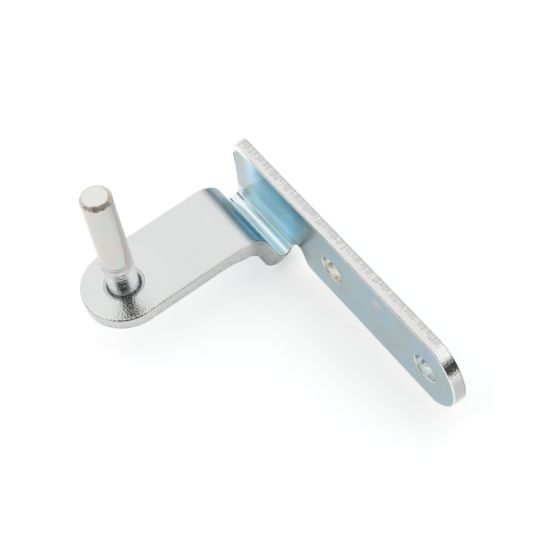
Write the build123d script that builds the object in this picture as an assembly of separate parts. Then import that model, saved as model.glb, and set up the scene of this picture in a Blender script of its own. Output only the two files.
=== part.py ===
from build123d import *
import os
from math import cos, radians, sin, sqrt

# Driving sizes, in millimetres and degrees.
# The origin is on the pin's axis, at the arm's top face. X runs along the plate, Y from the pin to the plate.

# Sheet and arm
sheet_thickness = 4.0
arm_width = 25.0
arm_reach = 47.5
edge_roll = 0.8

# Fold between arm and plate: a bend down, a steep wall and a trough that turns up into the plate
bend_radius = 3.3
wall_angle = 74.0
trough_radius = 2.5
trough_depth = 13.7

# The neck widens towards the plate on the notch's side
flare_length = 14.5
flare_radius = 20.0

# Metal squeezed out sideways where a fold is pressed together, and drawn in where it is stretched
bulge_height = 0.7
bulge_reach = 4.5
lean_angle = 33.0
lean_offset = 0.2
lean_spread = 3.4

# Mounting plate
plate_top = 12.1
plate_height = 26.5
plate_end = 86.3
end_bow = 8.2
corner_radius = 4.0

# Relief notch beside the trough
notch_offset = 1.4
notch_knee = 1.1
notch_rise = 3.8
notch_peak = 3.7
notch_bend = 1.5
notch_round = 1.2
notch_mouth = 6.9
notch_corner = 2.0

# Screw holes
hole_diameter = 8.6
hole_rim_roll = 0.4
first_hole = 33.7
hole_pitch = 40.5

# Pin
pin_diameter = 9.0
pin_height = 42.2
tip_chamfer = 1.15
tip_round = 0.35
shank_diameter = 8.4
press_clearance = 0.01
pin_rim_roll = 1.85
rivet_depth = 1.2
rivet_flare = 1.2
rivet_crown = 0.5

# Values worked out from the driving sizes
half_width = arm_width / 2
plate_back = arm_reach + sheet_thickness
plate_bottom = plate_top - plate_height
plate_middle = plate_top - plate_height / 2
slope_sin = sin(radians(wall_angle))
slope_cos = cos(radians(wall_angle))
trough_y = arm_reach - trough_radius
trough_z = trough_radius - trough_depth
trough_under = trough_depth + sheet_thickness
trough_side = trough_y * slope_sin + trough_z * slope_cos - trough_radius
bend_outer = bend_radius + sheet_thickness
bend_start = (trough_side - bend_outer * (1 - slope_cos)) / slope_sin
notch_side = half_width + notch_offset
notch_x = notch_side + notch_peak
notch_z = trough_z + notch_rise
mouth_x = notch_side + notch_mouth
pin_radius = pin_diameter / 2
shank_radius = shank_diameter / 2
pin_hole_radius = shank_radius + press_clearance

# Two places this near to each other are one place
touch = 0.001


def fold_side(depth):
    """One side of the folded sheet in the Y-Z plane, a given depth below its top side."""
    trough = trough_radius + depth
    trough_entry = (trough_y - trough * slope_sin, trough_z - trough * slope_cos)
    arm = Line((-half_width, -depth), (bend_start, -depth))
    bend = JernArc(arm @ 1, (1, 0), bend_outer - depth, -wall_angle)
    wall = Line(bend @ 1, trough_entry)
    turn = JernArc(wall @ 1, wall % 1, trough, wall_angle + 90)
    plate = Line(turn @ 1, (arm_reach + depth, plate_middle))
    return [arm, bend, wall, turn, plate]


def fold_section():
    """The folded sheet's section: its top side, its underside and its two ends."""
    top = fold_side(0)
    under = fold_side(sheet_thickness)
    ends = [Line(top[0] @ 0, under[0] @ 0), Line(top[-1] @ 1, under[-1] @ 1)]
    return make_face(top + under + ends)


def arm_plan():
    """The arm and neck seen from above: a round end, straight sides, and a flare on the notch's side."""
    flare_start = plate_back - flare_length
    flare_out = flare_radius - sqrt(flare_radius**2 - flare_length**2)
    far_side = Line((-half_width, plate_back), (-half_width, 0))
    round_end = ThreePointArc(far_side @ 1, (0, -half_width), (half_width, 0))
    near_side = Line(round_end @ 1, (half_width, flare_start))
    flare = RadiusArc(near_side @ 1, (half_width + flare_out, plate_back), flare_radius)
    back = Line(flare @ 1, far_side @ 0)
    return make_face([far_side, round_end, near_side, flare, back])


def plate_outline():
    """The mounting plate in the X-Z plane: rounded upper corner, bowed end, screw holes."""
    corner_x = plate_end - end_bow
    left_side = Line((-half_width, trough_z), (-half_width, plate_top - corner_radius))
    left_corner = RadiusArc(left_side @ 1, (corner_radius - half_width, plate_top), corner_radius)
    top_side = Line(left_corner @ 1, (corner_x, plate_top))
    round_end = ThreePointArc(top_side @ 1, (plate_end, plate_middle), (corner_x, plate_bottom))
    bottom_side = Line(round_end @ 1, (notch_x, plate_bottom))
    notch_line = Line(bottom_side @ 1, (notch_x, trough_z))
    neck_line = Line(notch_line @ 1, left_side @ 0)
    outline = make_face([left_side, left_corner, top_side, round_end, bottom_side, notch_line, neck_line])
    for hole_x in (first_hole, first_hole + hole_pitch):
        outline -= Pos(hole_x, plate_middle) * Circle(hole_diameter / 2)
    return outline


def notch_cut(side_x):
    """The relief notch: a straight neck side and two slanting sides that meet in a small round."""
    low = plate_bottom - 2 * trough_under
    knee = (side_x, trough_z - notch_knee)
    peak = (notch_x, notch_z)
    mouth = (mouth_x, plate_bottom)
    beside = (mouth_x + 2 * notch_corner, plate_bottom)
    below = (mouth_x + 2 * notch_corner, low)
    notch = make_face(Polyline((side_x, low), knee, peak, mouth, beside, below, close=True))
    for corner, radius in ((knee, notch_bend), (peak, notch_round), (mouth, notch_corner)):
        notch = fillet(notch.vertices().sort_by_distance(corner)[0], radius)
    return notch


def lean_cut(upright):
    """What the fold draws in beside the notch: its cut side leans away from the trough's inner corner."""
    corner = trough_radius * sin(radians(45))
    sideways = cos(radians(lean_angle))
    downwards = sin(radians(lean_angle)) * sin(radians(45))
    start = (notch_side + lean_offset, trough_y + corner, trough_z - corner)
    lean = Plane(origin=start, z_dir=(sideways, downwards, -downwards))
    outside = extrude(lean * Rectangle(2 * plate_end, 2 * plate_end), plate_end)
    return outside & extrude(upright * notch_cut(notch_side - lean_spread), 2 * arm_reach, both=True)


def punch_side_rim(solid):
    """The edges round the sheet's punch side, which is the arm's top, the fold and the plate's front."""
    top_line = Wire(fold_side(0))
    rim = {}
    for face in solid.faces():
        corners = [corner for corner in face.vertices() if abs(corner.Y - arm_reach) > touch]
        if all(top_line.distance_to(Vertex(corner.Y, corner.Z, 0)) < touch for corner in corners):
            for edge in face.edges():
                place = tuple(round(value, 3) for value in edge @ 0.5)
                rim[place] = None if place in rim else edge
    return [edge for edge in rim.values() if edge]


def side_bulge(fold, side_x, center_y, center_z):
    """A shallow swelling of one cut side, highest at the inner corner of a fold."""
    ball_radius = (bulge_reach**2 + bulge_height**2) / (2 * bulge_height)
    outward = 1 if side_x > 0 else -1
    ball_x = side_x + outward * (bulge_height - ball_radius)
    near_side = Pos(side_x, center_y, center_z) * Box(arm_width, 3 * bulge_reach, 3 * bulge_reach)
    return fold & near_side & Pos(ball_x, center_y, center_z) * Sphere(ball_radius)


def hinge_bracket():
    """Arm, fold and plate in one piece, with rolled edges on the punch side and sharp ones on the other."""
    upright = Plane(origin=(0, arm_reach, 0), x_dir=(1, 0, 0), z_dir=(0, -1, 0))
    fold = extrude(Plane.YZ * fold_section(), plate_end, both=True)
    neck = fold & extrude(arm_plan(), 2 * trough_under, both=True)
    plate = extrude(upright * plate_outline(), -sheet_thickness)
    bracket = neck + plate - extrude(upright * notch_cut(notch_side), 2 * arm_reach, both=True)

    bracket = fillet([edge for edge in punch_side_rim(bracket) if not edge.is_closed], edge_roll)
    bracket = fillet([edge for edge in punch_side_rim(bracket) if edge.is_closed], hole_rim_roll)

    bend_y = bend_start + bend_radius * sin(radians(wall_angle / 2))
    bend_z = bend_radius * cos(radians(wall_angle / 2)) - bend_outer
    for side_x in (-half_width, half_width):
        bracket += side_bulge(fold, side_x, bend_y, bend_z)
    for side_x in (-half_width, notch_side):
        bracket += side_bulge(fold, side_x, trough_y, -trough_depth)
    bracket -= lean_cut(upright)

    # The pin's hole has a rolled rim above and a cone below, which the riveted end fills.
    rivet_mouth = pin_hole_radius + rivet_flare
    bracket -= Cylinder(pin_hole_radius, 3 * sheet_thickness)
    bracket -= Pos(0, 0, rivet_depth / 2 - sheet_thickness) * Cone(rivet_mouth, pin_hole_radius, rivet_depth)
    pin_rim = [edge for edge in bracket.edges() if edge.is_closed and abs((edge @ 0).Z) < touch]
    return fillet(pin_rim, pin_rim_roll)


def hinge_pin():
    """The turned pin: a journal with a chamfered tip, a pressed shank, and a riveted end with a low crown."""
    tip = (0, pin_height)
    tip_edge = (pin_radius - tip_chamfer, pin_height)
    shoulder = (pin_radius, pin_height - tip_chamfer)
    journal_foot = (pin_radius, 0)
    shank_top = (shank_radius, 0)
    rivet_top = (shank_radius, rivet_depth - sheet_thickness)
    rivet_edge = (shank_radius + rivet_flare, -sheet_thickness)
    crown = (0, -sheet_thickness - rivet_crown)
    outline = Polyline(crown, tip, tip_edge, shoulder, journal_foot, shank_top, rivet_top, rivet_edge)
    low_crown = TangentArc(crown, rivet_edge, tangent=(1, 0))
    profile = make_face(outline.edges() + [low_crown])
    tip_corners = [profile.vertices().sort_by_distance(place)[0] for place in (tip_edge, shoulder)]
    return revolve(Plane.XZ * fillet(tip_corners, tip_round), Axis.Z)


os.makedirs("parts", exist_ok=True)
export_step(hinge_bracket(), "parts/hinge_bracket.step")
export_step(hinge_pin(), "parts/hinge_pin.step")
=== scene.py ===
import random
from math import asin, atan2, cos, degrees, pi, radians, sin, sqrt, tan

import bmesh
import bpy
from mathutils import Matrix, Vector


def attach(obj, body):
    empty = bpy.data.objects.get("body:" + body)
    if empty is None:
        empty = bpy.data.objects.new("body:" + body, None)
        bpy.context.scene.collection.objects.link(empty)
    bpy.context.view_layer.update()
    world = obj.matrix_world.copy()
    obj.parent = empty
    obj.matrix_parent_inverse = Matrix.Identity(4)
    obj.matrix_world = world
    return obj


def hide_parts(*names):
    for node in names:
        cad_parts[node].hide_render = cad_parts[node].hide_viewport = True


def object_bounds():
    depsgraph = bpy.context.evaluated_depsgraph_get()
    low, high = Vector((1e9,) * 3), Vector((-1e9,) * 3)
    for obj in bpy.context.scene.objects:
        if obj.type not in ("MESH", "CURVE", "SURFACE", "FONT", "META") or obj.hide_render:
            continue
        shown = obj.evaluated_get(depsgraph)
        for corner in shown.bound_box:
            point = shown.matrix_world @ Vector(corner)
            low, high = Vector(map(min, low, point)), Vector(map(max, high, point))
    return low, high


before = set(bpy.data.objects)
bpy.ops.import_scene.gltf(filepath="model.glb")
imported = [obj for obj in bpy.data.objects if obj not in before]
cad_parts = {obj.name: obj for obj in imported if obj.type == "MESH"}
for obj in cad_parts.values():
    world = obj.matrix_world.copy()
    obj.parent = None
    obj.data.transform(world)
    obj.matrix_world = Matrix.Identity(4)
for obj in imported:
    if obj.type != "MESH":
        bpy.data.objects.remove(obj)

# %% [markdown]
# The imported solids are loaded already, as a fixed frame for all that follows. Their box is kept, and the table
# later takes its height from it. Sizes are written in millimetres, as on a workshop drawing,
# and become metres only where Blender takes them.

mm = 0.001
cad_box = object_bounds()
print("CAD box in mm:", [[round(v / mm, 1) for v in corner] for corner in cad_box])

# %% [markdown]
# The camera comes first, because every later choice is looked at through it.
# Its place was worked out from the straight edges of the arm and plate, which meet at right angles.
# An azimuth, an elevation and a roll are easier to read than three Euler angles, so they are joined here.

# %% Camera
azimuth = radians(62.553)
elevation = radians(56.88)
roll = radians(-10.704)
camera_place = (0.24195, -0.07961, 0.37790)
aim = Matrix.Rotation(azimuth, 4, "Z") @ Matrix.Rotation(pi / 2 - elevation, 4, "X")
turn = aim @ Matrix.Rotation(roll, 4, "Z")
bpy.ops.object.select_all(action="DESELECT")
bpy.ops.object.camera_add(location=camera_place, rotation=turn.to_euler())
camera = bpy.context.object
camera.name = "photo_camera"
camera.data.lens = 108.2
camera.data.clip_start = 0.01
bpy.context.scene.camera = camera
print("camera stands", round(camera.location.length / mm), "mm from the pin")

# %% [markdown]
# The bracket is one piece of 4 mm sheet, so it is drawn the way it is made: an outline first, then folds.
# On paper a pen would do. In edit mode a single point does the same: extruding it draws a line,
# and spinning it draws an arc. The pen starts where the plate's far side meets the trough, and first draws that side.
# It goes up in short steps, because a later cell lets the side swell.

# %% Pen for outlines
sheet = 4.0
half_arm = 12.5
front_y = 47.5
trough_y, trough_z, trough_radius = 45.0, -11.2, 2.5
far_side_steps = 6 * [-trough_z / 6] + [5, 1.6]


def move(step):
    """Move what is selected by a step in millimetres."""
    bpy.ops.transform.translate(value=[v * mm for v in step])


def draw(step):
    """Extrude what is selected by a step in millimetres."""
    bpy.ops.mesh.extrude_region_move(TRANSFORM_OT_translate={"value": [v * mm for v in step]})


def begin_piece(name, place):
    """A new mesh that is one selected point, in edit mode."""
    bpy.ops.object.select_all(action="DESELECT")
    bpy.ops.mesh.primitive_plane_add(size=mm)
    piece = bpy.context.object
    piece.name = name
    bpy.ops.object.mode_set(mode="EDIT")
    bpy.ops.mesh.select_mode(type="VERT")
    bpy.ops.mesh.select_all(action="SELECT")
    bpy.ops.mesh.merge(type="CENTER")
    bpy.ops.mesh.select_all(action="SELECT")
    move(Vector(place))
    return piece


bracket = begin_piece("folded_bracket", (-half_arm, front_y, trough_z))
for step in far_side_steps:
    draw((0, 0, step))
print("far side drawn with", len(far_side_steps), "lines")

# %% [markdown]
# The plate's upper corner is round. It could be bevelled afterwards, but an arc in the outline stays clean,
# so the corner is drawn up to its round, and the round is spun.
# Short lines follow it, because the rolled edge narrows along them, and then one long line to the far end.

# %% Upper side of the plate
plate_top, plate_bottom = 12.1, -14.4
plate_end, end_bow = 86.3, 8.2
corner_radius = 4.0
far_side_top, upper_corner = Vector((-half_arm, 6.6)), Vector((-half_arm, plate_top))
narrowing_steps, narrowing_run = (1.8, 2.0, 2.4), 6.2


def sweep(center, axis, angle, steps):
    """Spin what is selected about an axis. Blender counts the angle against the right-hand rule."""
    bpy.ops.mesh.spin(steps=steps, angle=-radians(angle), center=[v * mm for v in center], axis=axis)


def draw_round(pen, corner, toward, radius, steps):
    """Draw on the plate from the pen's place to a corner and round it. The pen's new place comes back."""
    back, ahead = (pen - corner).normalized(), (toward - corner).normalized()
    half = back.angle(ahead) / 2
    start, end = corner + back * radius / tan(half), corner + ahead * radius / tan(half)
    center = corner + (back + ahead).normalized() * radius / sin(half)
    turned = 180 - degrees(2 * half)
    left_turn = back.x * ahead.y - back.y * ahead.x < 0
    draw((start.x - pen.x, 0, start.y - pen.y))
    sweep((center.x, front_y, center.y), (0, 1, 0), -turned if left_turn else turned, steps)
    return end


pen = draw_round(far_side_top, upper_corner, Vector((0, plate_top)), corner_radius, 10)
for step in narrowing_steps:
    draw((step, 0, 0))
draw((plate_end - end_bow - pen.x - narrowing_run, 0, 0))
print("upper side runs from x =", round(pen.x, 1), "to", round(plate_end - end_bow, 1), "mm")

# %% [markdown]
# The far end is one shallow arc. On the way back a relief notch is cut beside the neck, which keeps the fold from
# tearing the plate. A Boolean could cut it, but would leave thin faces that bevel badly, so it is drawn too.
# The closed outline is filled and extruded through the sheet's thickness.

# %% Bowed end, notch and thickness
plate_middle = (plate_top + plate_bottom) / 2
half_height = (plate_top - plate_bottom) / 2
end_radius = (half_height**2 + end_bow**2) / (2 * end_bow)
end_angle = degrees(asin(half_height / end_radius))
lower_end = Vector((plate_end - end_bow, plate_bottom))
notch_knee, notch_peak = Vector((13.9, -12.3)), Vector((17.6, -7.4))
notch_mouth = Vector((20.8, plate_bottom))
mouth_radius, peak_radius, notch_steps = 2.0, 1.2, 5

sweep((plate_end - end_radius, front_y, plate_middle), (0, 1, 0), 2 * end_angle, 40)
pen = draw_round(lower_end, notch_mouth, notch_peak, mouth_radius, 8)
pen = draw_round(pen, notch_peak, notch_knee, peak_radius, 12)
slant = (notch_peak.x - notch_knee.x) / (notch_peak.y - notch_knee.y)
for i in range(notch_steps):
    draw((slant * (trough_z - pen.y) / notch_steps, 0, (trough_z - pen.y) / notch_steps))
bpy.ops.mesh.select_all(action="SELECT")
bpy.ops.mesh.edge_face_add()
draw((0, sheet, 0))
bpy.ops.mesh.select_all(action="SELECT")
bpy.ops.mesh.normals_make_consistent(inside=False)
bpy.ops.object.mode_set(mode="OBJECT")
print("plate of", len(bracket.data.vertices), "points is", [round(v / mm, 2) for v in bracket.dimensions], "mm")

# %% [markdown]
# Below the plate the sheet is folded: a U-shaped trough, a steep wall, and a bend that levels out into the arm.
# The folds could be loose curved sheets, but then their seams would have to be closed afterwards.
# Here the plate's lower end is spun and extruded on and on, as the press pushes one strip round its tools.

# %% Folds and arm
wall_angle = 74.0
bend_radius = 7.3
slope = radians(wall_angle)
wall_top = trough_y * sin(slope) + trough_z * cos(slope) - trough_radius
bend_y = (wall_top - bend_radius * (1 - cos(slope))) / sin(slope)
trough_entry = Vector((0, trough_y - trough_radius * sin(slope), trough_z - trough_radius * cos(slope)))
bend_exit = Vector((0, bend_y + bend_radius * sin(slope), bend_radius * (cos(slope) - 1)))
swell_start, swell_steps = 26.5, 4


def edit(piece, kind):
    """Edit mode with nothing selected."""
    bpy.ops.object.select_all(action="DESELECT")
    piece.select_set(True)
    bpy.context.view_layer.objects.active = piece
    bpy.ops.object.mode_set(mode="EDIT")
    bpy.ops.mesh.select_mode(type=kind)
    bpy.ops.mesh.select_all(action="DESELECT")
    return bmesh.from_edit_mesh(piece.data)


def pick(elements, piece):
    """Select these points, edges or faces and no others."""
    bpy.ops.mesh.select_all(action="DESELECT")
    for element in elements:
        element.select_set(True)
    bmesh.update_edit_mesh(piece.data)


def middle(face):
    """The middle of a face in millimetres."""
    return face.calc_center_median() / mm


mesh = edit(bracket, "FACE")
pick([face for face in mesh.faces if face.normal.z < -0.9 and middle(face).x < 5], bracket)
sweep((0, trough_y, trough_z), (1, 0, 0), -90 - wall_angle, 24)
draw(bend_exit - trough_entry)
sweep((0, bend_y, -bend_radius), (1, 0, 0), wall_angle, 18)
for i in range(swell_steps):
    draw((0, (swell_start - bend_y) / swell_steps, 0))
draw((0, -swell_start, 0))
bpy.ops.mesh.select_all(action="SELECT")
bpy.ops.mesh.bisect(plane_co=(0, 0, 0), plane_no=(1, 0, 0))
print("folded sheet has", len(bmesh.from_edit_mesh(bracket.data).faces), "faces")
bpy.ops.object.mode_set(mode="OBJECT")

# %% [markdown]
# A fold presses its inner side together and stretches its outer side, so the cut sides of the neck don't stay flat:
# they bulge out in the inner corner of a fold and are drawn in round its outside. The neck also widens to the plate.
# Proportional editing would move both sides of the thin sheet at once. So each point is slid by itself,
# by an amount that comes from its angle round the fold.

# %% Angles round the folds
full_turn = 90 + wall_angle


def from_bend(point):
    """The way from the bend's axis straight out to a point."""
    return Vector((0, point.y - bend_y, point.z + bend_radius))


def from_trough(point):
    """The way from the trough's axis straight out to a point."""
    return Vector((0, point.y - trough_y, point.z - trough_z))


def bend_angle(point):
    """Degrees round the bend, 0 at the arm and 74 at the wall."""
    return degrees(atan2(point.y - bend_y, point.z + bend_radius))


def trough_angle(point):
    """Degrees round the trough, 0 at the plate and 164 at the wall."""
    return degrees(atan2(trough_z - point.z, point.y - trough_y))


print("the bend turns", round(bend_angle(bend_exit)), "degrees and the trough", round(trough_angle(trough_entry)))

# %% [markdown]
# The side next to the notch is seen best, so it is worked out in three stretches. Along the arm it is straight.
# On the bend it widens, and the pressed metal swells out and down. On the trough the floor follows the notch,
# and the underside is drawn in. The amounts were tuned until the side looked like the real one.

# %% Near side of the neck
flare_radius, flare_start = 20.0, 37.0
bend_out, bend_down, bend_in = 0.7, 0.5, 0.3
wall_out, wall_thicker = 0.4, 0.2
floor_side, floor_flare, floor_out = 13.3, 0.6, 0.5
under_side, under_flare, under_thicker = 13.0, 0.45, 0.5
under_in, under_back = 1.9, 0.9
margin = 1.0  # a point this near to one side of the sheet belongs to that side
hair = 0.01   # a point this near to a line lies on it


def ease(t):
    """A soft step from 0 to 1 while t goes from 0 to 1."""
    t = min(max(t, 0), 1)
    return t * t * (3 - 2 * t)


def near_arm(point):
    """The arm stays straight, and its lower corner begins to swell before the bend."""
    swell = ease((point.y - swell_start) / (bend_y - swell_start)) if point.z < -margin else 0
    return Vector((half_arm + bend_out * swell, point.y, point.z - bend_down * swell))


def near_bend(point):
    """The bend widens to the plate, is drawn in on its outside, and is pressed out and thicker on its inside."""
    turned, outward = bend_angle(point), from_bend(point)
    top_y = bend_y + bend_radius * sin(radians(turned))
    side = half_arm + flare_radius - sqrt(flare_radius**2 - max(top_y - flare_start, 0) ** 2)
    swell = sin(pi * turned / wall_angle)
    if outward.length > bend_radius - margin:
        return Vector((side - bend_in * swell, point.y, point.z))
    thicker = outward.normalized() * (bend_down + wall_thicker * ease(turned / 40))
    return Vector((side + bend_out + wall_out * swell, point.y, point.z)) - thicker


def near_trough(point):
    """The trough's floor swells and follows the notch up the plate. Its underside is drawn in and rounder."""
    turned, outward = trough_angle(point), from_trough(point)
    if outward.length < trough_radius + margin:
        above_knee = max(point.z - notch_knee.y, 0)
        side = floor_side + floor_flare * ease((full_turn - turned) / 40) + slant * above_knee
        return Vector((side + floor_out * sin(pi * turned / full_turn), point.y, point.z))
    drawn_in = under_in * min(max((130 - turned) / 80, 0), 1) ** 2 - under_back * ease((50 - turned) / 50)
    thicker = outward.normalized() * under_thicker * ease((turned - 90) / wall_angle)
    return Vector((under_side + under_flare * ease((turned - 140) / 24) - drawn_in, point.y, point.z)) + thicker


def near_side(point):
    """Where a point on the side next to the notch goes."""
    if point.y < bend_y + hair:
        return near_arm(point)
    return near_bend(point) if from_bend(point).length < bend_radius + hair else near_trough(point)


print("at the foot of the wall the near side goes to x =", round(near_side(trough_entry).x, 2), "mm")

# %% [markdown]
# The far side is straight along the arm. It only swells where the folds are pressed together, most at the trough,
# and the swelling runs out up the plate. The back of the notch leans in a little too. With all the ways known,
# each point is picked and moved, as it would be by hand.

# %% Far side of the neck
far_swell, far_in = 1.0, 0.9
notch_lean, fade_power = 2.7, 1.5


def far_side(point):
    """The place along X to which a point on the far side goes."""
    if point.y > front_y - hair and point.z > trough_z - hair:
        fade = max(point.z / trough_z, 0) ** fade_power
        return -half_arm - (far_swell * fade if point.y < front_y + margin else 0)
    if point.y < bend_y + hair:
        return -half_arm
    if from_bend(point).length < bend_radius + hair:
        deep = from_bend(point).length < bend_radius - margin
        return -half_arm - (bend_out if deep else -bend_in) * sin(pi * bend_angle(point) / wall_angle)
    if from_trough(point).length > trough_radius + margin:
        return -half_arm + far_in * sin(pi * trough_angle(point) / full_turn)
    return -half_arm - far_swell * ease((full_turn - trough_angle(point)) / 50)


mesh = edit(bracket, "VERT")
slides = []
for point in mesh.verts:
    place = point.co / mm
    if place.z < trough_z + hair and place.y > 40 or place.y < bend_exit.y + 0.1:
        if 5 < place.x < 15:
            slides.append((point.index, near_side(place) - place))
        if place.x < -5:
            slides.append((point.index, Vector((far_side(place) - place.x, 0, 0))))
    elif place.x < -5 and trough_z < place.z < 0.1:
        slides.append((point.index, Vector((far_side(place) - place.x, 0, 0))))
    elif place.y > front_y + margin and notch_knee.x < place.x < notch_peak.x and place.z < notch_peak.y:
        up = (place.z - trough_z) / (notch_peak.y - trough_z)
        slides.append((point.index, Vector((-notch_lean * max(1 - up, 0) ** fade_power, 0, 0))))
for index, step in slides:
    mesh.verts.ensure_lookup_table()
    pick([mesh.verts[index]], bracket)
    move(step)
print(len(slides), "points of the sides slid, at most", round(max(step.length for index, step in slides), 2), "mm")

# %% [markdown]
# The arm ends in a half circle about the pin. A cylinder joined on would leave a seam.
# Spinning one half of the arm's end face through half a turn gives the same form, and lands on the other half,
# where the two end faces are deleted and the points merged.

# %% Round end of the arm
merge_distance = 0.002 * mm

bpy.ops.mesh.select_mode(type="FACE")
end_faces = [face for face in mesh.faces if face.normal.y < -0.9 and abs(middle(face).y) < hair]
pick([face for face in end_faces if middle(face).x > 0], bracket)
sweep((0, 0, 0), (0, 0, 1), -180, 56)
pick([face for face in mesh.faces if abs(face.normal.y) > 0.9 and abs(middle(face).y) < hair], bracket)
bpy.ops.mesh.delete(type="FACE")
bpy.ops.mesh.select_all(action="SELECT")
bpy.ops.mesh.remove_doubles(threshold=merge_distance)
bpy.ops.mesh.normals_make_consistent(inside=False)
bpy.ops.object.mode_set(mode="OBJECT")
print("arm reaches to y =", round(min(v.co.y for v in bracket.data.vertices) / mm, 2), "mm")

# %% [markdown]
# The blank was punched from the arm's top and the plate's front, which rolls those edges over and leaves the
# others sharp. A bevel makes the roll. It is wider round the plate's upper corner, where the punch drags more
# metal down, so a Bevel modifier with a weight on each edge is better here than one bevel of a single width.
# First every edge of the punched side gets its weight.

# %% Widths of the rolled edges
widest_roll, arm_roll, plate_roll = 1.8, 0.7, 0.45
roll_fade = 6
corner_length, corner_fade, corner_drop = 3, 6.5, 1.6


def on_punch_side(point):
    """True for a point on the arm's top, the fold's upper side or the plate's front."""
    off_bend = abs(from_bend(point).length - bend_radius)
    off_trough = abs(from_trough(point).length - trough_radius)
    arm_top = point.y < bend_y + hair and abs(point.z) < hair
    return arm_top or abs(point.y - front_y) < hair or min(off_bend, off_trough) < hair


def roll_width(point):
    """Narrow along the plate, a little wider on the arm and fold, and widest near the plate's upper corner."""
    if point.y < front_y - hair or point.z < trough_z + 0.5:
        return arm_roll
    if point.x > 0 or point.z < 4:
        return plate_roll + (arm_roll - plate_roll) * (1 - ease((point.z - trough_z) / roll_fade))
    along = point.x + half_arm if point.z > plate_top - 1 else (plate_top - point.z) * corner_drop
    return plate_roll + (widest_roll - plate_roll) * (1 - ease((along - corner_length) / corner_fade))


weights = bracket.data.attributes.new("bevel_weight_edge", "FLOAT", "EDGE")
mesh = bmesh.new()
mesh.from_mesh(bracket.data)
punched = {face for face in mesh.faces if all(on_punch_side(v.co / mm) for v in face.verts)}
rims = {edge.index: edge for edge in mesh.edges if len(punched & set(edge.link_faces)) == 1}
for index, edge in rims.items():
    weights.data[index].value = roll_width((edge.verts[0].co + edge.verts[1].co) / 2 / mm) / widest_roll
print(len(rims), "edges are to be rolled")
mesh.free()

# %% [markdown]
# The bevel's profile is flatter than a quarter round, so that the light breaks at its two borders in fine lines,
# as it does on the edges of plated sheet. Overlap isn't clamped, because one short edge would then narrow all rolls.

# %% Rolled edges
roll_profile, roll_strips = 0.32, 6


def apply_modifier(piece, kind, **settings):
    """Add a modifier, set it and apply it."""
    bpy.ops.object.select_all(action="DESELECT")
    piece.select_set(True)
    bpy.context.view_layer.objects.active = piece
    modifier = piece.modifiers.new(kind.lower(), kind)
    for key, value in settings.items():
        setattr(modifier, key, value)
    bpy.ops.object.modifier_apply(modifier=modifier.name)


roll_settings = {"limit_method": "WEIGHT", "width": widest_roll * mm, "use_clamp_overlap": False}
apply_modifier(bracket, "BEVEL", segments=roll_strips, profile=roll_profile, **roll_settings)
print("bracket now has", len(bracket.data.polygons), "faces")

# %% [markdown]
# A real roll is shallow: it starts softly on the face and ends at the sheared side with a corner.
# So every point of a roll is raised towards the punch side by half of its depth. That needs to know how deep a point
# lies and which way the punch side is, all along the folds. The move operator would take its time with so many
# points that each go their own way, so they are moved in the mesh.

# %% Flatter rolls
flattened = 0.5


def below_punch_side(point):
    """How many millimetres a point lies below the punch side, and the way up to it."""
    bend_way, trough_way = from_bend(point), from_trough(point)
    if point.y < bend_y:
        return -point.z, Vector((0, 0, 1))
    if point.y > trough_y and (point.z > trough_z or point.x > 16):
        return point.y - front_y, Vector((0, -1, 0))
    if bend_angle(point) <= wall_angle and bend_way.length < bend_radius + 0.1 and point.y < 42:
        return bend_radius - bend_way.length, bend_way.normalized()
    if trough_way.length > trough_radius - 0.1 and trough_way.z <= 0 and trough_angle(point) <= full_turn:
        return trough_way.length - trough_radius, -trough_way.normalized()
    return wall_top - point.y * sin(slope) - point.z * cos(slope), Vector((0, sin(slope), cos(slope)))


mesh = edit(bracket, "VERT")
raised = 0
for point in mesh.verts:
    deep, way_up = below_punch_side(point.co / mm)
    if hair < deep < widest_roll + 2 * hair:
        point.co += way_up * deep * flattened * mm
        raised += 1
bmesh.update_edit_mesh(bracket.data)
bpy.ops.object.mode_set(mode="OBJECT")
print(raised, "points of the rolls raised")

# %% [markdown]
# Three round holes go through the sheet. In the arm's hole the pin is riveted: the hole has a cone below,
# and above it a narrow deep gap round the pin, a level ring and a small step.
# A cutter that is turned on its axis has all of this in its profile, so one Boolean gives the hole and its rim.

# %% Pin's hole
round_steps = 96
cutter_low, cutter_high = -8, 3
pin_hole, pin_ring = 4.21, 1.85
rivet_mouth, rivet_depth = 5.41, 1.2
pin_gap = [(4.6, -1.7), (4.7, -1.2), (4.78, -0.7), (4.9, -0.4), (5.1, -0.24), (5.4, -0.17), (5.9, -0.15)]


def turned_body(name, profile, center, upright):
    """A closed turned body from radius and height pairs, on an axis along Z or along -Y."""
    body = begin_piece(name, (profile[0][0], 0, profile[0][1]))
    for first, second in zip(profile, profile[1:]):
        draw((second[0] - first[0], 0, second[1] - first[1]))
    bpy.ops.mesh.select_all(action="SELECT")
    sweep((0, 0, 0), (0, 0, 1), 360, round_steps)
    bpy.ops.mesh.select_all(action="SELECT")
    bpy.ops.mesh.remove_doubles(threshold=merge_distance)
    bpy.ops.mesh.normals_make_consistent(inside=False)
    if not upright:
        bpy.ops.transform.rotate(value=radians(-90), orient_axis="X", center_override=(0, 0, 0))
    move(center)
    bpy.ops.object.mode_set(mode="OBJECT")
    return body


def cut(piece, cutter):
    """Cut one piece with another, which is used up."""
    apply_modifier(piece, "BOOLEAN", operation="DIFFERENCE", object=cutter, solver="EXACT")
    bpy.data.objects.remove(cutter)


pin_profile = [(0, cutter_low), (rivet_mouth, cutter_low), (rivet_mouth, -sheet), (pin_hole, rivet_depth - sheet)]
pin_profile += [(pin_hole, -pin_ring)] + pin_gap
pin_profile += [(pin_hole + pin_ring, 0), (pin_hole + pin_ring, cutter_high), (0, cutter_high)]
cut(bracket, turned_body("pin_hole_cutter", pin_profile, (0, 0, 0), True))
print("bracket with the pin's hole has", len(bracket.data.polygons), "faces")

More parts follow.
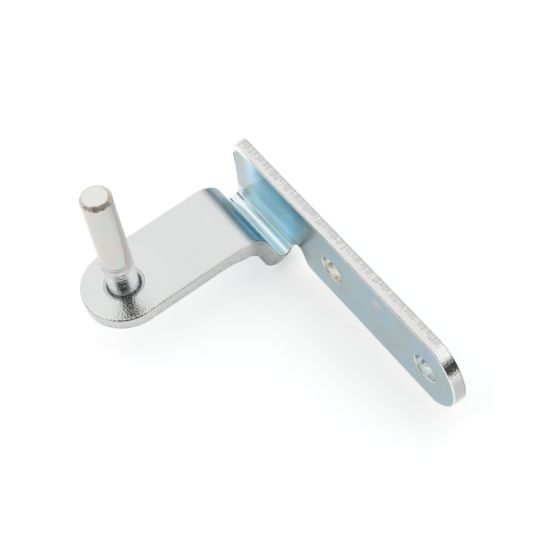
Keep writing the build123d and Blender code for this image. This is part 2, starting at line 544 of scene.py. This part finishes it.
# %% [markdown]
# The plate is screwed to the cabinet through two plain holes. The punch rolled their rims a little.
# A bevel on the rim would meet the flat face unevenly, so the same kind of cutter is used, turned to lie along -Y.

# %% Screw holes
screw_radius, screw_rim = 4.3, 0.4
hole_places = (33.7, 74.2)


def rolled_rim(radius, rim, steps):
    """Profile points of a rim that turns from the hole's wall to the face at height 0."""
    angles = [pi / 2 * i / steps for i in range(steps + 1)]
    return [(radius + rim * (1 - cos(a)), -rim + rim * sin(a)) for a in angles]


screw_profile = [(0, cutter_low), (screw_radius, cutter_low)] + rolled_rim(screw_radius, screw_rim, 6)
screw_profile += [(screw_radius + screw_rim, cutter_high), (0, cutter_high)]
for hole_x in hole_places:
    cut(bracket, turned_body("screw_hole_cutter", screw_profile, (hole_x, front_y, plate_middle), False))
print("bracket with all holes has", len(bracket.data.polygons), "faces")

# %% [markdown]
# The pin is turned from bar: a plain journal with a chamfered tip, a thinner shank in the arm, and an end that is
# riveted over below. Like the cutters it is a profile spun about its axis, with small rounds at the tip's corners.
# The lathe left fine grooves near the foot. They are in the profile too, at seeded heights and depths.

# %% Pin
pin_radius, pin_top, tip_chamfer = 4.5, 42.2, 1.15
shank_radius, foot_chamfer = 4.2, 0.1
rivet_edge, crown = 5.4, 0.5
groove_top, groove_half = 13.5, 0.2
groove_pitches, groove_depths = (0.6, 1.1), (0.02, 0.045)
shoulder_round, tip_round = 0.5, 0.6


def soft_corner(before, corner, after, cut_back, steps):
    """Points of a small round instead of a sharp corner of a profile."""
    a, b, c = Vector(before), Vector(corner), Vector(after)
    start, end = b + (a - b).normalized() * cut_back, b + (c - b).normalized() * cut_back
    ts = [i / steps for i in range(steps + 1)]
    return [tuple((1 - t) ** 2 * start + 2 * t * (1 - t) * b + t * t * end) for t in ts]


random.seed(11)
shoulder, tip = (pin_radius, pin_top - tip_chamfer), (pin_radius - tip_chamfer, pin_top)
profile = [(rivet_edge * t, -sheet - crown * (1 - t * t)) for t in (0, 0.2, 0.4, 0.6, 0.8, 1)]
profile += [(shank_radius, rivet_depth - sheet), (shank_radius, 0)]
profile += [(pin_radius - foot_chamfer, 0), (pin_radius, foot_chamfer)]
groove_z = 0.7
while groove_z < groove_top:
    groove_z += random.uniform(*groove_pitches)
    groove = random.uniform(*groove_depths)
    profile += [(pin_radius, groove_z - groove_half), (pin_radius - groove, groove_z)]
    profile += [(pin_radius, groove_z + groove_half)]
profile += soft_corner((pin_radius, 0), shoulder, tip, shoulder_round, 6)
profile += soft_corner(shoulder, tip, (0, pin_top), tip_round, 6) + [(0, pin_top)]
pin = turned_body("hinge_pin_turned", profile, (0, 0, 0), True)
print("pin is", [round(v / mm, 2) for v in pin.dimensions], "mm")

# %% [markdown]
# A punch shears the first half of the sheet cleanly and tears the rest. The torn half of the plate's upper edge
# shows it: short marks run across it, about a millimetre apart. A bump in the material would not be in the mesh,
# so the strip is really cut into columns, with bisect, and every second one is sunk by a small seeded amount.

# %% Torn strip along the plate's upper edge
torn_from, torn_to, torn_y = -4.0, 77.6, 49.5
column_widths = (0.4, 0.75)
level_columns, sunk_columns = (0, 0.03), (0.06, 0.16)
border_shift = 0.3


def upper_edge(faces):
    """The faces that lie along the plate's upper edge."""
    return [face for face in faces if face.normal.z > 0.95 and middle(face).z > plate_top - 0.05]


mesh = edit(bracket, "FACE")
pick(upper_edge(mesh.faces), bracket)
bpy.ops.mesh.bisect(plane_co=(0, torn_y * mm, 0), plane_no=(0, 1, 0))
columns = [torn_from]
while columns[-1] < torn_to:
    columns.append(columns[-1] + random.uniform(*column_widths))
    pick([face for face in upper_edge(mesh.faces) if middle(face).y > torn_y], bracket)
    bpy.ops.mesh.bisect(plane_co=(columns[-1] * mm, 0, 0), plane_no=(1, 0, 0))
bpy.ops.mesh.select_mode(type="VERT")
for number, column in enumerate(columns):
    sunk = random.uniform(*(sunk_columns if number % 2 else level_columns))
    strip = [v for v in mesh.verts if abs(v.co.x / mm - column) < 0.001 and v.co.z / mm > plate_top - 0.3]
    pick([v for v in strip if v.co.y / mm > torn_y + 0.3], bracket)
    move((0, 0, -sunk))
    pick([v for v in strip if abs(v.co.y / mm - torn_y) < 0.001], bracket)
    move((0, random.uniform(-border_shift, border_shift), -sunk / 6))
bpy.ops.object.mode_set(mode="OBJECT")
print(len(columns), "columns of torn metal")

# %% [markdown]
# Smooth shading has to stop at the sharp edges of the far side. Smoothing by angle does that,
# and weighted normals keep the large flat faces flat beside their narrow rolls.
# The plating looks different on the sheet's faces and on its cut sides. A vertex attribute tells them apart:
# how deep a point lies below the punch side, from 0 on that side to 4 mm on the other.

# %% Shading and depth of the sheet
sharp_angle = radians(32)

for piece in (bracket, pin):
    bpy.ops.object.select_all(action="DESELECT")
    piece.select_set(True)
    bpy.context.view_layer.objects.active = piece
    bpy.ops.object.shade_smooth_by_angle(angle=sharp_angle)
    apply_modifier(piece, "WEIGHTED_NORMAL", keep_sharp=True, weight=80)
depths = [min(max(below_punch_side(v.co / mm)[0], 0), sheet) for v in bracket.data.vertices]
bracket.data.attributes.new("depth", "FLOAT", "POINT").data.foreach_set("value", depths)
between = sum(0.05 < d < sheet - 0.05 for d in depths)
print(between, "of", len(depths), "points lie on rolls and cut sides")

# %% [markdown]
# Bright metal shows its surroundings more than its own colour, so the studio is part of the finish.
# Area lamps could light it, but their hard borders would show in the metal. A world whose strength depends on the
# direction has soft borders and lights the part from all round. It starts with the direction, split into its axes.

# %% Directions in the studio
def add_node(tree, kind, inputs, **settings):
    """A node with some of its settings and inputs. An input is a value or another node's output."""
    node = tree.nodes.new(kind)
    for name, value in settings.items():
        setattr(node, name, value)
    for name, value in inputs.items():
        if isinstance(value, bpy.types.NodeSocket):
            tree.links.new(value, node.inputs[name])
        else:
            node.inputs[name].default_value = value
    return node


world = bpy.data.worlds.new("studio")
bpy.context.scene.world = world
world.use_nodes = True
room = world.node_tree
toward = room.nodes.new("ShaderNodeTexCoord").outputs["Generated"]
sideways, _, height = add_node(room, "ShaderNodeSeparateXYZ", {0: toward}).outputs
print("studio world begun with", len(room.nodes), "nodes")

# %% [markdown]
# A wide soft box hangs overhead. On the side of -X stand a white sweep and a low backdrop. The rest of the horizon
# is a dim gap, which draws the dark lines in the metal. One darker spot, high on the side of +X, is the studio's open
# side. A mesh that glows could stand for each, but would show its outline, so each is a soft step in the direction.

# %% Light of the studio
box_light, sweep_light, backdrop_light, gap_light = 0.95, 0.85, 0.8, 0.05
open_way, open_light = (0.484, -0.280, 0.829), 0.04


def smooth(tree, value, low, high, bottom, top):
    """Run smoothly from bottom to top while a value goes from low to high."""
    inputs = {0: value, 1: low, 2: high, 3: bottom, 4: top}
    return add_node(tree, "ShaderNodeMapRange", inputs, interpolation_type="SMOOTHSTEP").outputs[0]


def calc(tree, operation, first, second=0):
    """One number from one or two numbers."""
    return add_node(tree, "ShaderNodeMath", {0: first, 1: second}, operation=operation).outputs[0]


def both(tree, first, second):
    """Where two masks are on together, or a mask times an amount."""
    return calc(tree, "MULTIPLY", first, second)


def measured(tree, operation, first, second=(0, 0, 0)):
    """One number from one or two vectors: a length, a distance or a dot product."""
    return add_node(tree, "ShaderNodeVectorMath", {0: first, 1: second}, operation=operation).outputs["Value"]


background = room.nodes["Background"].inputs
horizon = smooth(room, sideways, -0.75, -0.55, sweep_light, gap_light)
light = smooth(room, height, 0.38, 0.64, horizon, box_light)
low_down = smooth(room, height, 0.18, 0.30, backdrop_light, 0)
light = calc(room, "MAXIMUM", light, both(room, low_down, smooth(room, sideways, -0.3, 0.1, 1, 0)))
open_side = smooth(room, measured(room, "DOT_PRODUCT", toward, open_way), 0.86, 0.91, 1.0, open_light)
room.links.new(both(room, light, open_side), background["Strength"])
background["Color"].default_value = (1, 1, 1, 1)
bpy.context.scene.view_settings.view_transform = "Standard"
print("studio world has", len(room.nodes), "nodes")

# %% [markdown]
# The table is a wide white plane at the height of the part's lowest point.
# To come out white it would need more light than the metal can take, so it glows a little, for the camera
# and for reflections only. The glow is added to what it scatters, which keeps the soft shadow under the part.

# %% White table
table_width, table_gap = 12, 0.0001
table_white, table_glow = (0.93, 0.93, 0.93, 1), 0.5

bpy.ops.object.select_all(action="DESELECT")
bpy.ops.mesh.primitive_plane_add(size=table_width, location=(0, 0, cad_box[0][2] - table_gap))
table = bpy.context.object
table.name = "white_table"
bpy.ops.object.transform_apply(location=True)
paint = bpy.data.materials.new("white_table_paint")
paint.use_nodes = True
table.data.materials.append(paint)
tree = paint.node_tree
surface = tree.nodes["Principled BSDF"].inputs
surface["Base Color"].default_value = table_white
surface["Roughness"].default_value = 0.9
surface["Emission Color"].default_value = (1, 1, 1, 1)
ray = tree.nodes.new("ShaderNodeLightPath").outputs
seen = calc(tree, "MAXIMUM", ray["Is Camera Ray"], ray["Is Glossy Ray"])
seen = calc(tree, "MAXIMUM", seen, ray["Is Transmission Ray"])
tree.links.new(both(tree, seen, table_glow), surface["Emission Strength"])
print("table lies at z =", round(table.data.vertices[0].co.z / mm, 1), "mm")

# %% [markdown]
# The sheet is zinc plated and passivated, which leaves a thin film: grey and satin on the arm, blue on the plate and
# deepest blue between them, with faint patches of other hues. An image would be quick, but would stretch over the
# folds. Here every tone is worked out from where a point lies, in millimetres, so the pattern sits on the real part.
# A finish starts with a metal shader and the point's place.

# %% Start of the sheet's finish
def new_finish(name):
    """A metal whose nodes know where a point lies, in millimetres."""
    metal = bpy.data.materials.new(name)
    metal.use_nodes = True
    tree = metal.node_tree
    meters = tree.nodes.new("ShaderNodeTexCoord").outputs["Object"]
    place = add_node(tree, "ShaderNodeVectorMath", {0: meters, "Scale": 1000}, operation="SCALE").outputs[0]
    shader = tree.nodes["Principled BSDF"].inputs
    shader["Metallic"].default_value = 1
    return metal, tree, shader, place


sheet_metal, tree, shader, place = new_finish("blue_zinc_sheet")
along, across, up = add_node(tree, "ShaderNodeSeparateXYZ", {0: place}).outputs
sheet_depth = add_node(tree, "ShaderNodeAttribute", {}, attribute_name="depth").outputs["Fac"]
print("sheet finish begun with", len(tree.nodes), "nodes")

# %% [markdown]
# A mask is a number from 0 to 1 that says where something is. Painting masks by hand would need a map of the surface.
# Here they come from the place along X, Y and Z, and from the depth in the sheet.
# The first ones tell the main parts of the sheet apart: arm, bend, pocket, neck and plate, rolls and cut sides.

# %% Parts of the sheet
def span(tree, value, start, full, fading, end):
    """A mask that is on along a stretch of a value, with soft ends."""
    return both(tree, smooth(tree, value, start, full, 0, 1), smooth(tree, value, fading, end, 1, 0))


def stretched(tree, place, scale):
    """The place with its axes scaled, which stretches a pattern or flattens it."""
    return add_node(tree, "ShaderNodeVectorMath", {0: place, 1: scale}, operation="MULTIPLY").outputs[0]


def from_axis(tree, place):
    """The distance from the pin's axis."""
    return measured(tree, "LENGTH", stretched(tree, place, (1, 1, 0)))


from_pin = from_axis(tree, place)
fold = smooth(tree, across, 33.5, 38.5, 0, 1)
bend = span(tree, across, 33.5, 36, 40.5, 42.5)
neck = both(tree, fold, smooth(tree, across, 46.5, 48, 1, 0))
plate = smooth(tree, across, 46, 47.5, 0, 1)
bowed_end = smooth(tree, along, 76, 79, 0, 1)
pocket = both(tree, smooth(tree, across, 35, 39, 0, 1), smooth(tree, along, 14, 21, 1, 0))
pocket = both(tree, pocket, smooth(tree, sheet_depth, 1, 3, 1, 0))
cut_side = span(tree, sheet_depth, 0.02, 0.2, 3.95, 4)
rolled = both(tree, span(tree, sheet_depth, 0.01, 0.05, 0.3, 0.6), smooth(tree, from_pin, 6.2, 6.6, 0, 1))
by_pin = smooth(tree, from_pin, 11, 15, 1, 0)
print("parts of the sheet told apart, now", len(tree.nodes), "nodes")

# %% [markdown]
# The cut sides show how the blank was punched: a clean half, a torn half with marks across the sheet, and a burr.
# The border between the halves is ragged, so noise is added to the depth before it is cut off.
# Noise that is stretched across the sheet gives the marks. The bowed end was cut smoothly and has none.

# %% Torn metal, burr and marks
def noise(tree, place, size, detail=2.0):
    """Cloudy values about 0.5, with clouds of a size in millimetres."""
    return add_node(tree, "ShaderNodeTexNoise", {"Vector": place, "Scale": 1 / size, "Detail": detail}).outputs[0]


def clouds(tree, place, size, low, high, detail=2.0):
    """Cloudy values from low to high."""
    return smooth(tree, noise(tree, place, size, detail), 0.3, 0.7, low, high)


def masked(tree, mask, off, on):
    """One value where a mask is off and another where it is on."""
    return smooth(tree, mask, 0, 1, off, on)


ragged_depth = calc(tree, "ADD", sheet_depth, clouds(tree, place, 1.6, -0.5, 0.5))
torn = both(tree, cut_side, smooth(tree, ragged_depth, 1.8, 2.3, 0, 1))
burr = both(tree, cut_side, smooth(tree, sheet_depth, 3.3, 3.8, 0, 1))
burr = both(tree, burr, smooth(tree, up, 6, 11, 1, 0.55))
plate_marks = noise(tree, stretched(tree, place, (1, 0.05, 1)), 0.48)
arm_marks = noise(tree, stretched(tree, place, (1, 1, 0.05)), 0.8, 3)
marks = calc(tree, "ADD", both(tree, plate_marks, plate), both(tree, arm_marks, masked(tree, plate, 1, 0)))
marks = both(tree, smooth(tree, marks, 0.40, 0.55, 0, 1), torn)
marks = both(tree, marks, masked(tree, bowed_end, 1, 0))
print("torn metal added, now", len(tree.nodes), "nodes")

# %% [markdown]
# A few things sit at one place only: the walls of the screw holes, the painted shade beside the notch,
# a short nick on the arm and a small stain on the plate. A distance from that place gives each its mask.
# The nick is longer than wide, so it takes two distances, along it and across it.

# %% Holes, notch, nick and stain
nick_place = (-1.65, 30.2, 0)
nick_sides = (((-0.5, 0.866, 0), 0.8), ((0.866, 0.5, 0), 0.2))
stain_place, notch_place = (54.0, front_y, 6.2), (18.0, front_y, -8.0)

in_plate = stretched(tree, place, (1, 0, 1))
hole_distances = [measured(tree, "DISTANCE", in_plate, (x, 0, plate_middle)) for x in hole_places]
in_hole = smooth(tree, calc(tree, "MINIMUM", *hole_distances), 4.6, 5.0, 1, 0)
in_hole = both(tree, in_hole, smooth(tree, across, 46, 47, 0, 1))
# Mask of the painted shade beside the notch.
notch_shade_mask = smooth(tree, measured(tree, "DISTANCE", place, notch_place), 1, 7.5, 1, 0)
from_nick = add_node(tree, "ShaderNodeVectorMath", {0: place, 1: nick_place}, operation="SUBTRACT").outputs[0]
nick = 1
for direction, half in nick_sides:
    off = calc(tree, "ABSOLUTE", measured(tree, "DOT_PRODUCT", from_nick, direction))
    nick = both(tree, nick, smooth(tree, off, half * 0.5, half * 1.5, 1, 0))
from_stain = measured(tree, "DISTANCE", place, stain_place)
from_stain = calc(tree, "ADD", from_stain, clouds(tree, place, 1.5, -0.8, 0.8))
print("single places added, now", len(tree.nodes), "nodes")

# %% [markdown]
# The faces get their colours in layers, as glazes are laid over each other: grey to blue from the arm to the plate,
# then the plate's upper corner, the ring round the pin, the deep blue pocket and the pale trough with a painted warm
# glint at its near end.
# One large colour ramp could not tell places apart. Layers with masks can, and each can be tuned by itself.

# %% Colours of the faces
arm_grey, plate_blue = (0.785, 0.795, 0.795), (0.364, 0.468, 0.534)
corner_blue, ring_white = (0.385, 0.465, 0.485), (0.86, 0.92, 0.94)
pocket_wall_blue, pocket_plate_blue = (0.60, 0.84, 0.95), (0.47, 0.735, 0.90)
trough_floor_pale, trough_plate_pale = (0.86, 0.96, 1.0), (0.66, 0.78, 0.83)
painted_trough_end_glint = (0.95, 0.89, 0.82)


def mixed(tree, share, first, second, way="MIX"):
    """Lay a second colour over a first one."""
    sockets = bpy.types.NodeSocket
    under, over = [value if isinstance(value, sockets) else tuple(value) + (1,) for value in (first, second)]
    return add_node(tree, "ShaderNodeMix", {0: share, 6: under, 7: over}, data_type="RGBA", blend_type=way).outputs[2]


color = mixed(tree, fold, arm_grey, plate_blue)
color = mixed(tree, both(tree, plate, smooth(tree, along, -8, 0, 1, 0)), color, corner_blue)
color = mixed(tree, smooth(tree, from_pin, 6.0, 6.4, 1, 0), color, ring_white)
pocket_hue = mixed(tree, plate, pocket_wall_blue, pocket_plate_blue)
color = mixed(tree, both(tree, pocket, smooth(tree, along, -9, -1, 0, 1)), color, pocket_hue)
trough_hue = mixed(tree, plate, trough_floor_pale, trough_plate_pale)
color = mixed(tree, both(tree, pocket, smooth(tree, up, -10.5, -7.5, 1, 0)), color, trough_hue)
# Painted highlight: a warm cream glint at the trough's near end.
trough_end_glint_mask = both(tree, smooth(tree, along, 10.5, 13, 0, 0.8), smooth(tree, along, 15, 16, 1, 0))
trough_end_glint_mask = both(tree, trough_end_glint_mask, smooth(tree, up, -12.5, -11, 1, 0))
color = mixed(tree, trough_end_glint_mask, color, painted_trough_end_glint)
print("faces coloured, now", len(tree.nodes), "nodes")

# %% [markdown]
# The passive film is thinner than light waves are long, so it shows faint patches of violet, green and yellow.
# A thin-film shader would change its hues with the view. A colour ramp over large clouds keeps them in their places,
# and multiplying tints what lies below. Painted shade beside the notch, standing for the trough's dark reflection
# there, and the stain lie on top.

# %% Film, painted shade and stain
film = [(0.30, (0.96, 0.90, 1.0)), (0.40, (0.88, 1.0, 0.99)), (0.48, (0.98, 1.0, 0.99))]
film += [(0.56, (0.95, 1.0, 0.86)), (0.66, (1.0, 0.91, 0.89))]
painted_notch_shade, stain_brown = (0.22, 0.25, 0.27), (0.66, 0.55, 0.44)


def hues(tree, value, stops):
    """A colour ramp through given places and colours."""
    ramp = add_node(tree, "ShaderNodeValToRGB", {0: value})
    for number, (position, color) in enumerate(stops):
        stop = ramp.color_ramp.elements[number] if number < 2 else ramp.color_ramp.elements.new(position)
        stop.position = position
        stop.color = color + (1,)
    return ramp.outputs[0]


film_share = both(tree, masked(tree, fold, 0.12, 1), masked(tree, pocket, 1, 0.4))
color = mixed(tree, film_share, color, hues(tree, noise(tree, place, 11), film), "MULTIPLY")
# Painted shade: the plate darkens beside the notch, where the dark side of the trough is reflected.
color = mixed(tree, masked(tree, notch_shade_mask, 0, 0.75), color, painted_notch_shade)
color = mixed(tree, smooth(tree, from_stain, 0.6, 2.6, 0.6, 0), color, stain_brown)
print("film and stain added, now", len(tree.nodes), "nodes")

# %% [markdown]
# The cut sides are barer than the faces: light along the plate, darker on the arm and neck, tinted in the holes, and
# on the bowed end painted light and shade, bright at its top and darker low down. They are mixed by themselves first
# and then laid over the faces.
# The burr, the marks and fine specks come last, because on the real part they lie on top of the plating. Painted
# shade towards the neck's underside and a painted highlight along the rolls are laid on with them.

# %% Colours of the cut sides
bare_arm, bare_plate, bare_neck = (0.615, 0.62, 0.615), (0.85, 0.845, 0.83), (0.46, 0.475, 0.465)
painted_end_light_and_shade = [(0, (0.52, 0.525, 0.52)), (1, (0.96, 0.96, 0.94))]
first_hole_yellow, second_hole_green = (1.0, 1.0, 0.89), (0.88, 0.96, 0.94)
burr_brown, painted_under_shade, mark_grey = (0.36, 0.35, 0.33), (0.20, 0.20, 0.20), (0.45, 0.45, 0.46)
painted_roll_highlight, nick_bright, rim_dark = (0.93, 0.91, 0.86), (0.98, 0.98, 0.97), (0.25, 0.24, 0.22)
speck_tones = [(0.35, (0.94, 0.94, 0.94)), (0.6, (1.0, 1.0, 1.0))]

bare = mixed(tree, plate, bare_arm, bare_plate)
# Painted light and shade on the bowed end's cut side: bright at its top, where its highlight is, and darker low down,
# where the floor it reflects lies in shade.
bare = mixed(tree, bowed_end, bare, hues(tree, smooth(tree, up, 3.5, 8.5, 0, 1), painted_end_light_and_shade))
hole_tint = mixed(tree, smooth(tree, along, 50, 60, 0, 1), first_hole_yellow, second_hole_green)
bare = mixed(tree, in_hole, bare, hole_tint)
bare = mixed(tree, neck, bare, bare_neck)
color = mixed(tree, masked(tree, cut_side, 0, 0.95), color, bare)
color = mixed(tree, masked(tree, burr, 0, 0.6), color, burr_brown)
# Painted shade: the neck's cut side darkens towards its underside, where it turns away from the light.
underside = both(tree, both(tree, neck, cut_side), smooth(tree, sheet_depth, 1.8, 4, 0, 0.55))
color = mixed(tree, underside, color, painted_under_shade)
color = mixed(tree, masked(tree, marks, 0, 0.36), color, mark_grey)
# Painted highlight: a bright cream line along the rolled edges.
color = mixed(tree, masked(tree, rolled, 0, 0.8), color, painted_roll_highlight)
color = mixed(tree, cut_side, color, hues(tree, noise(tree, place, 0.5), speck_tones), "MULTIPLY")
color = mixed(tree, masked(tree, nick, 0, 0.55), color, nick_bright)
lower_rim = both(tree, plate, smooth(tree, up, -14.2, -13.7, 0.5, 0))
color = mixed(tree, lower_rim, color, rim_dark)
tree.links.new(color, shader["Base Color"])
print("cut sides coloured, now", len(tree.nodes), "nodes")

# %% [markdown]
# Roughness decides how sharp the studio shows in the metal. The arm is satin, the plate a little brighter,
# and the steel round the pin is nearly polished, as if the door had rubbed it. Cut sides are brighter than the faces.
# One mixed map could hold all this, but changes that are added up can be tuned one by one.

# %% Gloss of the sheet
arm_rough, plate_rough = 0.28, 0.2
rubbed, cut_change, end_change = 0.3, -0.07, -0.04
roll_change, hole_change, bend_change = 0.1, 0.1, 0.12

gloss = calc(tree, "ADD", masked(tree, fold, arm_rough, plate_rough), clouds(tree, place, 6, -0.01, 0.015, 3))
gloss = both(tree, gloss, masked(tree, by_pin, 1.0, rubbed))
cut_end, cut_hole = both(tree, cut_side, bowed_end), both(tree, cut_side, in_hole)
changes = [(cut_side, cut_change), (cut_end, end_change), (rolled, roll_change), (cut_hole, hole_change)]
for mask, change in changes + [(bend, bend_change)]:
    gloss = calc(tree, "ADD", gloss, masked(tree, mask, 0, change))
tree.links.new(gloss, shader["Roughness"])
print("gloss made, now", len(tree.nodes), "nodes")

# %% [markdown]
# Relief too fine for the mesh goes into a bump: the plating's faint unevenness, speckles round the pin,
# ridges and grit on the cut sides, and the nick. A bump could have any height, so all heights are written in
# thousandths of a millimetre, and the bump's distance is one thousandth.

# %% Relief of the sheet
micron = 0.000001
peel_height, speckle_height, grit_height = 3.0, 90, 80
ridge_depth, nick_depth = -60, -60
hole_grit, end_grit = 0.15, 0.3


def bumps(tree, place, size, detail, height):
    """Noise about zero, of a height in thousandths of a millimetre."""
    return both(tree, calc(tree, "SUBTRACT", noise(tree, place, size, detail), 0.5), height)


def set_relief(tree, shader, heights):
    """Add up heights and give them to the shader as a bump."""
    relief = heights[0]
    for height in heights[1:]:
        relief = calc(tree, "ADD", relief, height)
    bump = add_node(tree, "ShaderNodeBump", {"Strength": 1, "Distance": micron, "Height": relief})
    tree.links.new(bump.outputs[0], shader["Normal"])


peel = both(tree, noise(tree, place, 0.7, 3), peel_height)
speckle = bumps(tree, place, 0.6, 3, masked(tree, by_pin, 0, speckle_height))
grit = bumps(tree, place, 0.6, 4, masked(tree, cut_side, 0, grit_height))
grit = both(tree, grit, masked(tree, in_hole, 1, hole_grit))
upper_end = both(tree, bowed_end, smooth(tree, up, 9, 10.5, 0, 1))
grit = both(tree, grit, masked(tree, upper_end, 1, end_grit))
set_relief(tree, shader, [peel, speckle, both(tree, marks, ridge_depth), grit, both(tree, nick, nick_depth)])
bracket.data.materials.append(sheet_metal)
print("sheet finish has", len(tree.nodes), "nodes")

# %% [markdown]
# The pin was turned on a lathe before plating, so fine rings run round it, coarser near its foot, where it is
# brightest. The plating is thin at the tip and lets a brown tone through along the chamfer, more on one side.
# The colours are laid on as on the sheet: mottled greys, then the bright foot, a painted blue reflection down one
# side, a brown band and the tip.

# %% Colours of the pin
pin_tones = [(0.35, (0.66, 0.59, 0.56)), (0.5, (0.62, 0.615, 0.59)), (0.65, (0.58, 0.615, 0.585))]
foot_bright, painted_side_reflection, band_brown = (0.95, 0.955, 0.95), (0.66, 0.76, 0.77), (0.70, 0.58, 0.53)
tip_white, worn_brown = (0.84, 0.835, 0.80), (0.95, 0.79, 0.70)

pin_metal, tree, shader, place = new_finish("turned_zinc_pin")
along, across, up = add_node(tree, "ShaderNodeSeparateXYZ", {0: place}).outputs
foot = span(tree, up, -2, 0, 8, 13)
band = span(tree, up, 36.5, 38.5, 38.5, 40.5)
chamfer = both(tree, smooth(tree, up, 40.8, 41.1, 0, 1), smooth(tree, from_axis(tree, place), 3.1, 3.5, 0, 1))
worn = smooth(tree, noise(tree, place, 1.5, 3), 0.36, 0.54, 0.4, 1)
worn = both(tree, chamfer, both(tree, worn, smooth(tree, along, 0, 2.5, 0.15, 1)))
color = hues(tree, noise(tree, stretched(tree, place, (1, 1, 0.3)), 4.5), pin_tones)
color = mixed(tree, foot, color, foot_bright)
# Painted reflection: a blue-teal strip down the side of the pin that faces the plate.
color = mixed(tree, smooth(tree, across, 2.8, 4.2, 0, 0.8), color, painted_side_reflection)
color = mixed(tree, masked(tree, band, 0, 0.4), color, band_brown)
color = mixed(tree, smooth(tree, up, 41.6, 42.1, 0, 1), color, tip_white)
color = mixed(tree, worn, color, worn_brown)
tree.links.new(color, shader["Base Color"])
print("pin coloured with", len(tree.nodes), "nodes")

# %% [markdown]
# A turned ring is the same all the way round, so a noise that only reads the height makes rings of uneven width
# and depth, with no picture to wrap. The tip has been struck, so its chamfer is dented, and rougher where it is worn.

# %% Gloss and relief of the pin
shank_rough, foot_rough = 0.09, 0.11
chamfer_change, worn_change = 0.13, 0.27
shank_rings, foot_rings = 4, 120
shank_grain, foot_grain = 3, 70
dent_height = 480

gloss = masked(tree, foot, shank_rough, foot_rough)
gloss = calc(tree, "ADD", gloss, masked(tree, chamfer, 0, chamfer_change))
gloss = calc(tree, "ADD", gloss, smooth(tree, worn, 0.1, 0.8, 0, worn_change))
gloss = calc(tree, "ADD", gloss, clouds(tree, place, 3, -0.02, 0.03, 3))
tree.links.new(gloss, shader["Roughness"])
rings = both(tree, noise(tree, stretched(tree, place, (0, 0, 1)), 0.8), masked(tree, foot, shank_rings, foot_rings))
grain = both(tree, noise(tree, place, 0.6, 3), masked(tree, foot, shank_grain, foot_grain))
dents = bumps(tree, place, 1.5, 2, masked(tree, chamfer, 0, dent_height))
set_relief(tree, shader, [rings, grain, dents])
pin.data.materials.append(pin_metal)
print("pin finish has", len(tree.nodes), "nodes")

# %% [markdown]
# Last, each modelled piece is put on the body it rides on, and the imported solid it stands for is hidden.
# The part has no joint, so everything rides on its one body.

# %% Pieces on their body
for piece, node, finish in ((bracket, "hinge_bracket", "zinc_plated_sheet"), (pin, "hinge_pin", "zinc_plated_pin")):
    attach(piece, "root")
    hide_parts(node)
